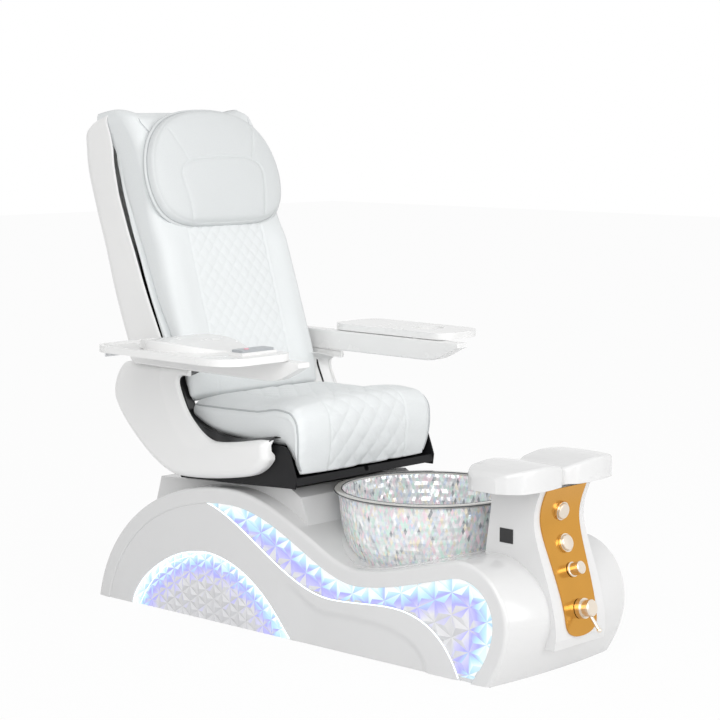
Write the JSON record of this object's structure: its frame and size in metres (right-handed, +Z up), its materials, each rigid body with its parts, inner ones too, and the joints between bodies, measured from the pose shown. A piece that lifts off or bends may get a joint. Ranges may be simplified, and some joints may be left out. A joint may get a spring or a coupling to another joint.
{
  "type": "pedicure spa chair",
  "caption": "Reclining massage chair on a lit wave-sided base, with a cut-glass foot bowl, control pillar, sliding footrest and lifting arms with swivel trays.",
  "frame": {"origin": "on the floor below the middle levelling foot, 209 mm behind the bowl's centre", "axes": "+Z up, the chair faces -Y, +X is the occupant's left"},
  "size_m": [1.082, 1.7593, 1.4899],
  "materials": {
    "gelcoat_white": "gloss",
    "panel_white": "satin gloss",
    "tray_white": "gloss",
    "leather_white": "soft grain",
    "light_panel": "faceted, backlit",
    "light_strip": "lit",
    "crystal": "cut facets",
    "gold": "polished",
    "champagne": "polished",
    "black_steel": "satin",
    "grey_steel": "brushed",
    "chrome": "polished",
    "black_plastic": "matte",
    "grey_plastic": "matte",
    "rubber": "matte",
    "brass": "raw",
    "remote_grey": "gloss",
    "key_pink": "gloss"
  },
  "bodies": {
    "base": {"base_shell": "gelcoat_white", "side_border_right": "gelcoat_white", "side_border_left": "gelcoat_white", "wave_skin_right": "gelcoat_white", "wave_skin_left": "gelcoat_white", "ribbon_light_panel_right": "light_panel", "ribbon_light_panel_left": "light_panel", "moon_light_panel_right": "light_panel", "moon_light_panel_left": "light_panel", "light_strips": "light_strip", "floor_frame": "black_steel", "levelling_feet": "rubber", "service_plate": "grey_steel", "water_inlets": "brass", "power_inlet": "black_plastic", "control_box": "grey_plastic", "glass_bowl": "crystal", "bowl_gasket": "rubber", "bowl_drain": "chrome", "drain_pipe": "grey_plastic", "drain_pump": "grey_plastic", "jet_housing": "black_plastic", "jet_cap": "grey_plastic", "control_plate": "gold", "switch_bodies": "champagne", "valve_bodies": "brass", "fill_spout": "chrome", "badge_plate": "black_plastic", "footrest_rails": "grey_steel", "slide_rails": "black_steel", "slide_motor": "black_plastic"},
    "stopper": {"drain_stopper": "chrome"},
    "impeller": {"jet_impeller": "grey_plastic"},
    "screw": {"lead_screw": "grey_steel"},
    "footrest_top": {"footrest": "gelcoat_white"},
    "button_upper": {"upper_button": "champagne"},
    "button_lower": {"lower_button": "champagne"},
    "diverter": {"diverter_knob": "champagne"},
    "mixer": {"mixer_knob": "champagne"},
    "lever": {"mixer_lever": "champagne"},
    "seat": {"seat_frame": "black_steel", "seat_cushion": "leather_white", "side_panel_right": "panel_white", "side_panel_left": "panel_white", "recline_motor": "black_plastic"},
    "back": {"back_frame": "black_steel", "back_shell": "gelcoat_white", "back_cushion": "leather_white", "head_pillow": "leather_white", "massage_rails": "grey_steel"},
    "carriage": {"massage_carriage": "black_plastic"},
    "rollers": {"massage_rollers": "grey_plastic"},
    "arm_beam_right": {"arm_right": "tray_white"},
    "arm_beam_left": {"arm_left": "tray_white"},
    "table_right": {"tray_right": "tray_white", "tray_bracket_right": "chrome"},
    "table_left": {"tray_left": "tray_white", "tray_bracket_left": "chrome"},
    "remote": {"remote_control": "remote_grey"},
    "key": {"remote_key": "key_pink"}
  },
  "joints": [
    {"name": "seat_slide", "type": "slide", "parent": "base", "child": "seat", "axis": [0, -0.9981, 0.061], "range_m": [-0.07, 0.06]},
    {"name": "lead_screw_spin", "type": "hinge", "parent": "base", "child": "screw", "pos_m": [0, 0.38208, 0.43494], "axis": [0, -0.9981, 0.061], "range_deg": [-2600, 2300]},
    {"name": "back_recline", "type": "hinge", "parent": "seat", "child": "back", "pos_m": [0, 0.54, 0.52], "axis": [-1, 0, 0], "range_deg": [0, 35]},
    {"name": "massage_travel", "type": "slide", "parent": "back", "child": "carriage", "axis": [0, 0.3007, 0.9537], "range_m": [0, 0.55]},
    {"name": "roller_spin", "type": "hinge", "parent": "carriage", "child": "rollers", "pos_m": [0, 0.65519, 0.77727], "axis": [1, 0, 0], "continuous": true},
    {"name": "arm_right_lift", "type": "hinge", "parent": "seat", "child": "arm_beam_right", "pos_m": [-0.3235, 0.64, 0.765], "axis": [-1, 0, 0], "range_deg": [0, 80]},
    {"name": "arm_left_lift", "type": "hinge", "parent": "seat", "child": "arm_beam_left", "pos_m": [0.3235, 0.64, 0.765], "axis": [-1, 0, 0], "range_deg": [0, 80]},
    {"name": "tray_right_swivel", "type": "hinge", "parent": "arm_beam_right", "child": "table_right", "pos_m": [-0.327, 0.14, 0.797], "axis": [0, 0, 1], "range_deg": [0, 90]},
    {"name": "tray_left_swivel", "type": "hinge", "parent": "arm_beam_left", "child": "table_left", "pos_m": [0.327, 0.14, 0.797], "axis": [0, 0, -1], "range_deg": [0, 90]},
    {"name": "footrest_slide", "type": "slide", "parent": "base", "child": "footrest_top", "axis": [0, -1, 0], "range_m": [-0.03, 0.03]},
    {"name": "upper_button_press", "type": "slide", "parent": "base", "child": "button_upper", "axis": [0, 0.9908, 0.1352], "range_m": [0, 0.0025], "stiffness_N_per_m": 600, "springref_m": -0.002},
    {"name": "lower_button_press", "type": "slide", "parent": "base", "child": "button_lower", "axis": [0, 0.9453, -0.3263], "range_m": [0, 0.0025], "stiffness_N_per_m": 600, "springref_m": -0.002},
    {"name": "diverter_turn", "type": "hinge", "parent": "base", "child": "diverter", "pos_m": [0, -0.71402, 0.28143], "axis": [0, -0.9395, 0.3427], "range_deg": [-90, 90]},
    {"name": "mixer_turn", "type": "hinge", "parent": "base", "child": "mixer", "pos_m": [0, -0.74433, 0.1821], "axis": [0, -0.9776, 0.2104], "range_deg": [-60, 60]},
    {"name": "mixer_lever_lift", "type": "hinge", "parent": "mixer", "child": "lever", "pos_m": [0, -0.76312, 0.17796], "axis": [1, 0, 0], "range_deg": [-4, 14]},
    {"name": "stopper_lift", "type": "slide", "parent": "base", "child": "stopper", "axis": [0, 0, 1], "range_m": [0, 0.012]},
    {"name": "jet_spin", "type": "hinge", "parent": "base", "child": "impeller", "pos_m": [0.071, -0.209, 0.21], "axis": [0, 0, 1], "continuous": true},
    {"name": "remote_lift", "type": "slide", "parent": "table_right", "child": "remote", "axis": [0, 0, 1], "range_m": [0, 0.15]},
    {"name": "remote_key_press", "type": "slide", "parent": "remote", "child": "key", "axis": [0, 0, -1], "range_m": [0, 0.0012], "stiffness_N_per_m": 300, "springref_m": -0.001}
  ],
  "couplings": [
    {"joint": "lead_screw_spin", "follows": "seat_slide", "rad_per_m": 628.32}
  ]
}
